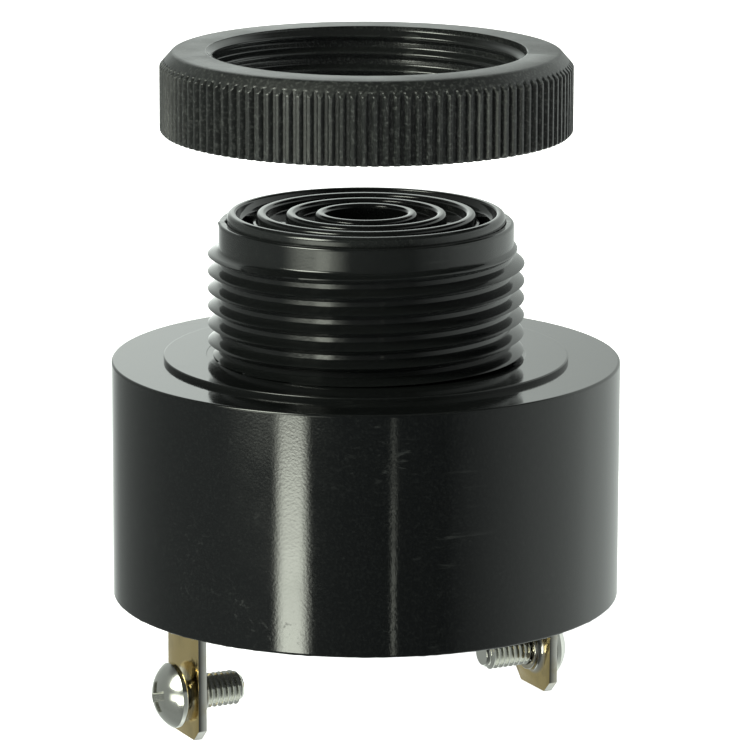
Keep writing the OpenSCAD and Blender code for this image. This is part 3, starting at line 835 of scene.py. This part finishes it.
def makeTab(s, side, name):
    builder = bmesh.new()
    outline = tabOutline(s)
    face = builder.faces.new([builder.verts.new((-s["thick"] / 2 * mm, y * mm, z * mm)) for y, z in outline])
    pushed = bmesh.ops.extrude_face_region(builder, geom=[face])["geom"]
    bmesh.ops.translate(builder, verts=[v for v in pushed if isinstance(v, bmesh.types.BMVert)],
                        vec=(s["thick"] * mm, 0, 0))
    bmesh.ops.recalc_face_normals(builder, faces=builder.faces)
    bmesh.ops.bevel(builder, geom=builder.edges[:], offset=s["edge"] * mm, segments=2, profile=0.5,
                    affect="EDGES", clamp_overlap=True)
    bmesh.ops.translate(builder, verts=builder.verts, vec=(side * s["across"] * mm, 0, 0))
    plate = tidyMesh(builder, name)
    inner = side * (s["across"] - s["thick"] / 2)
    foot = s["collar"] + s["fillet"]
    section = softSection([
        (0, s["collarRoot"], 0), (foot, s["collarRoot"], 0), (foot, 0, 0), (s["collar"], 0, s["fillet"]),
        (s["collar"], s["collarHeight"], s["collarEdge"]), (0, s["collarHeight"], 0)], s["filletSteps"])
    collar = layAlongX(closedSpin(section, s["columns"], "collar"), -side, (inner, 0, s["holeAt"]))
    hole, reach = s["holeRadius"], s["drill"]
    drill = closedSpin([(0, -reach), (hole, -reach), (hole, reach), (0, reach)], s["columns"], "drill")
    layAlongX(drill, side, (side * s["across"], 0, s["holeAt"]))
    made = carve(carve(plate, collar, "UNION"), drill, "DIFFERENCE")
    made.name = name
    finishMesh(made, s["smooth"])
    return made


sides = {"left": -1, "right": 1}
for word, side in sides.items():
    showPiece(word + "TerminalTab", makeTab(tab, side, word + "TerminalTab"), materials["tabMetal"],
              "buzzer", word + "_terminal")


# terminal screws: domed cross-recess heads with a real thread

screw = {
    "length": 6.0, "pitch": 0.5, "crest": 1.49, "root": 1.15, "tip": 0.2, "tipRadius": 1.05, "tipEdge": 0.05,
    "neck": 0.12, "firstCrest": 0.1,
    "thread": {"crestShare": 2 / threadRows, "flankShare": 5 / threadRows, "rounding": 0.3,
               "bottomFade": 0.22, "topFade": 0.25, "inside": False},
    "head": 2.8, "headHeight": 1.9, "headEdge": 0.5, "headRound": 0.12, "domeRows": 22, "columns": 64,
    "smooth": 34, "recessSpan": 1.5, "recessWidth": 0.4, "recessDepth": 1.2, "recessOver": 0.4,
    "recessFloor": (0.42, 0.55), "recessMouth": (1.2, 1.1),      # shares of the span and the width
    "gaps": {"left": 0.7, "right": 0.1}, "turns": {"left": 20.0, "right": 65.0},
}


def makeRecessCutter(s):
    builder = bmesh.new()
    loops = []
    for up, (long, wide) in ((-s["recessDepth"], s["recessFloor"]), (s["recessOver"], s["recessMouth"])):
        height, span, half = s["headHeight"] + up, s["recessSpan"] * long, s["recessWidth"] * wide
        quarter = [(span, -half), (span, half), (half, half)]
        points = [Matrix.Rotation(math.pi / 2 * q, 2) @ Vector(p) for q in range(4) for p in quarter]
        loops.append([builder.verts.new((p.x * mm, p.y * mm, height * mm)) for p in points])
    for k in range(len(loops[0])):
        m = (k + 1) % len(loops[0])
        builder.faces.new((loops[0][k], loops[0][m], loops[1][m], loops[1][k]))
    builder.faces.new(loops[0][::-1])
    builder.faces.new(loops[1])
    return tidyMesh(builder, "recess")


def makeScrew(s, side, word):
    bottom, top = -s["length"] + s["tip"], -s["neck"]
    band = growThread({
        **s["thread"], "columns": s["columns"], "pitch": s["pitch"], "crestAt": bottom + s["firstCrest"],
        "rootRadius": s["root"], "depth": s["crest"] - s["root"], "bottom": bottom, "top": top},
        materials["screwMetal"])
    rise = s["headHeight"] - s["headEdge"]
    sphere = (s["head"] ** 2 + rise ** 2) / (2 * rise)
    lean = math.asin(s["head"] / sphere)
    dome = [(sphere * math.sin(a), s["headHeight"] - sphere + sphere * math.cos(a), 0)
            for a in np.linspace(lean, 0, s["domeRows"])]
    upper = softSection([(s["root"], top, 0), (s["root"], 0, 0), (s["head"], 0, s["headRound"]),
                         (s["head"], s["headEdge"], 0)] + dome[1:], steps=4)
    lower = softSection([(0, -s["length"], 0), (s["tipRadius"], -s["length"], s["tipEdge"]),
                         (s["root"], bottom, 0)], steps=3, guard=0.02)
    builder = bmesh.new()
    addRows(builder, spinRows(upper, s["columns"]))
    addRows(builder, spinRows(lower, s["columns"]))
    weld(builder, band)
    name = word + "TerminalScrew"
    made = carve(tidyMesh(builder, name), makeRecessCutter(s), "DIFFERENCE")
    made.name = name
    made.transform(Matrix.Rotation(math.radians(s["turns"][word]), 4, "Z"))
    layAlongX(made, side, (side * (tab["across"] + tab["thick"] / 2 + s["gaps"][word]), 0, tab["holeAt"]))
    finishMesh(made, s["smooth"])
    return made


for word, side in sides.items():
    showPiece(word + "TerminalScrew", makeScrew(screw, side, word), materials["screwMetal"],
              "buzzer", word + "_screw")


# pieces that keep their CAD shape: cover, sounder, board, components and wires

innerLooks = {
    "resistorHalf": 3.15, "diodeHalf": 2.6, "legTop": -10.15, "sleeveFoot": -11.45,
    "firstBand": -1.7, "bandStep": 1.1, "diodeBand": (1.8, (0.5, 0.5, 0.5, 1)),
    "bands": {"bias": ("brown", "black", "gold"), "load": ("red", "red", "brown"),
              "feedback": ("gold", "black", "red")},
    "paints": {"brown": (0.1, 0.04, 0.015, 1), "black": (0.01, 0.01, 0.01, 1), "red": (0.4, 0.02, 0.02, 1),
               "gold": (0.5, 0.33, 0.08, 1)},
    "tan": ((0.58, 0.44, 0.25, 1), (0.48, 0.35, 0.18, 1), 0.3),
    "resin": ((0.018, 0.018, 0.02, 1), (0.03, 0.03, 0.032, 1)), "diodeRough": 0.45, "transistorRough": 0.5,
    "sleeve": ((0.02, 0.045, 0.15, 1), (0.03, 0.065, 0.19, 1), 0.22),
    # pieces of one lacquer: its name, its two colours and its roughness
    "plain": {
        "circuit_board": ("boardMask", (0.03, 0.16, 0.05, 1), (0.05, 0.2, 0.07, 1), 0.35),
        "nodal_ring": ("softSilicone", (0.76, 0.75, 0.71, 1), (0.66, 0.65, 0.6, 1), 0.5),
        "drive_wire": ("redInsulation", (0.45, 0.02, 0.02, 1), (0.36, 0.015, 0.015, 1), 0.3),
        "feedback_wire": ("blueInsulation", (0.02, 0.06, 0.4, 1), (0.016, 0.05, 0.32, 1), 0.3),
        "ground_wire": ("blackInsulation", (0.012, 0.012, 0.012, 1), (0.02, 0.02, 0.02, 1), 0.35),
    },
}
lacquerShared = {
    "grain": 3000, "patch": 700, "bandHalf": 0.28, "roughSpread": 0.12, "bump": 0.12, "relief": 0.02,
}


def leadMix(lacquered, half=None, foot=None):
    # bare wire shows farther out along Y than half, or lower than foot
    material, tree, shader = lacquered
    axes = objectAxes(tree)
    if foot is None:
        isLead = calc("GREATER_THAN", calc("ABSOLUTE", axes["Y"]), half * mm)
    else:
        isLead = calc("LESS_THAN", axes["Z"], foot * mm)
    metal = metalColour(tree, metalLooks["lead"], metalShared)
    colour = shader.inputs["Base Color"].links[0].from_socket
    plug(shader.inputs["Base Color"], mixColour(isLead, colour, metal))
    plug(shader.inputs["Metallic"], isLead)
    return material


def makeLacquer(name, colour, second, rough, bands=()):
    # lacquer or sleeve with soft blotches and, along Y, painted bands at the given places
    material, tree, shader = startMaterial(name, IOR=1.5)
    shared = lacquerShared
    grain = effect(tree, "grain", Grain=shared["grain"], Patch=shared["patch"])
    base = mixColour(spread(grain["Patch"], *patchRange), colour, second)
    along = objectAxes(tree)["Y"]
    for place, paint in bands:
        away = calc("ABSOLUTE", minus(along, place * mm))
        base = mixColour(calc("LESS_THAN", away, shared["bandHalf"] * mm), base, paint)
    sheen = spread(grain["Patch"], *patchRange, rough, rough + shared["roughSpread"])
    raised = bumpFrom(grain["Height"], shared["bump"], shared["relief"] * mm)
    wire(shader, base, sheen, raised)
    return material, tree, shader


def makeInnerMaterials(s):
    made = {node: makeLacquer(*values)[0] for node, values in s["plain"].items()}
    for name, colours in s["bands"].items():
        bands = [(s["firstBand"] + s["bandStep"] * i, s["paints"][colour]) for i, colour in enumerate(colours)]
        tan = makeLacquer(name + "Lacquer", *s["tan"], bands)
        made[name + "_resistor"] = leadMix(tan, half=s["resistorHalf"])
    diode = makeLacquer("diodeResin", *s["resin"], s["diodeRough"], [s["diodeBand"]])
    made["polarity_diode"] = leadMix(diode, half=s["diodeHalf"])
    made["supply_capacitor"] = leadMix(makeLacquer("capacitorSleeve", *s["sleeve"]), foot=s["sleeveFoot"])
    resin = makeLacquer("transistorResin", *s["resin"], s["transistorRough"])
    made["transistor"] = leadMix(resin, foot=s["legTop"])
    made["diaphragm"] = materials["brassMetal"]
    made["piezo_ceramic"] = materials["silverMetal"]
    made["rear_cover"] = materials["coverPlastic"]
    return made


for node, material in makeInnerMaterials(innerLooks).items():
    if nodes[node].material_slots:
        for slot in nodes[node].material_slots:
            slot.material = material
    else:
        nodes[node].data.materials.append(material)
print("inner pieces painted")


# studio: white floor, and soft boxes and dark flags all round, by direction

studio = {
    "floor": -31.7, "floorSize": 3.0, "floorGlow": 1.0, "floorRough": 0.9, "floorBlotch": 3,
    "floorColour": (0.9, 0.9, 0.9, 1), "floorPatch": (0.92, 0.92, 0.92, 1),
    "overhead": 0.06, "overheadFrom": 0.5, "overheadTo": 0.8,
    # degrees round from the camera, positive to its right, and the brightness there
    "round": [(-180, 1.35), (-174, 1.65), (-162, 0.75), (-150, 0.43), (-138, 0.35), (-115, 0.3), (-100, 0.27),
              (-60, 0.27), (-46, 0.26), (-20, 0.13), (-10, 0.11), (10, 0.07), (36, 0.06), (54, 0.34),
              (81, 0.78), (121, 1.15), (137, 1.0), (160, 0.85), (174, 0.7), (180, 1.2)],
    "wallTint": (0.95, 1.02, 0.97), "lampColour": (0.95, 1, 0.86, 1),
    # each lamp's middle, half width, soft edge and brightness, and the heights where it comes in and goes out
    "lamps": [(-33.0, 3.2, 6.0, 14.4, (-0.33, -0.3), (-0.262, -0.2)),
              (12.6, 0.35, 0.45, 2.9, (-0.33, -0.3), (-0.262, -0.2)),
              (-40.0, 4.0, 26.0, 3.4, (-0.225, -0.2), (0.0, 0.12)),
              (-52.0, 6.0, 18.0, 16.0, (0.28, 0.42), (0.66, 0.8))],
}


def makeFloor(s):
    mesh = bpy.data.meshes.new("studioFloor")
    half = s["floorSize"] / 2
    mesh.from_pydata([(x * half, y * half, s["floor"] * mm) for x, y in ((-1, -1), (1, -1), (1, 1), (-1, 1))],
                     [], [(0, 1, 2, 3)])
    material, tree, shader = startMaterial("studioPaper", Roughness=s["floorRough"])
    patch = effect(tree, "grain", Patch=s["floorBlotch"])["Patch"]
    plug(shader.inputs["Base Color"], mixColour(patch, s["floorColour"], s["floorPatch"]))
    shader.inputs["Emission Color"].default_value = (1, 1, 1, 1)
    shader.inputs["Emission Strength"].default_value = s["floorGlow"]
    mesh.materials.append(material)
    floor = addObject("studioFloor", mesh)
    floor.visible_glossy = False      # the soft boxes, not the paper, show in the gloss
    floor.visible_shadow = False


def makeSky(s):
    world = bpy.data.worlds.new("softStudio")
    world.use_nodes = True
    scene.world = world
    tree = world.node_tree
    tree.nodes.clear()
    turn = math.radians(cameraView["azimuth"])
    x, y, z = split(tree.nodes.new("ShaderNodeTexCoord").outputs["Generated"])

    def along(forX, forY):
        return plus(times(x, forX), times(y, forY))

    front = along(math.sin(turn), -math.cos(turn))
    bearing = calc("ARCTAN2", along(math.cos(turn), math.sin(turn)), front)
    ramp = tree.nodes.new("ShaderNodeValToRGB")
    stops = ramp.color_ramp.elements
    for degrees, _ in s["round"][1:-1]:
        stops.new(degrees / 360 + 0.5)
    for stop, (degrees, bright) in zip(stops, s["round"]):
        stop.position = degrees / 360 + 0.5
        stop.color = [bright * tint for tint in s["wallTint"]] + [1]
    plug(ramp.inputs[0], calc("MULTIPLY_ADD", bearing, 1 / (2 * math.pi), 0.5))

    def lamp(middle, half, soft, bright, rise, fall):
        away = calc("ABSOLUTE", minus(bearing, math.radians(middle)))
        wide = spread(away, math.radians(half + soft), math.radians(half), smooth=True)
        over = spread(z, *rise, smooth=True)
        tall = times(over, spread(z, *fall, 1, 0, smooth=True))
        return times(bright, times(wide, tall))

    above = spread(z, s["overheadFrom"], s["overheadTo"], smooth=True)
    walls = mixColour(above, ramp.outputs[0], (s["overhead"],) * 3 + (1,))
    lamps = 0.0
    for values in s["lamps"]:
        lamps = plus(lamps, lamp(*values))
    seen = tree.nodes.new("ShaderNodeLightPath").outputs["Is Camera Ray"]
    end = tree.nodes.new("ShaderNodeOutputWorld")
    hidden = minus(1.0, seen)
    shine = None
    for colour, strength in ((walls, hidden), (s["lampColour"], times(lamps, hidden)),
                             ((1, 1, 1, 1), seen)):
        background = tree.nodes.new("ShaderNodeBackground")
        plug(background.inputs["Color"], colour)
        plug(background.inputs["Strength"], strength)
        if shine is None:
            shine = background.outputs[0]
            continue
        both = tree.nodes.new("ShaderNodeAddShader")
        plug(both.inputs[0], shine)
        plug(both.inputs[1], background.outputs[0])
        shine = both.outputs[0]
    plug(end.inputs[0], shine)


makeFloor(studio)
makeSky(studio)
print("studio set")
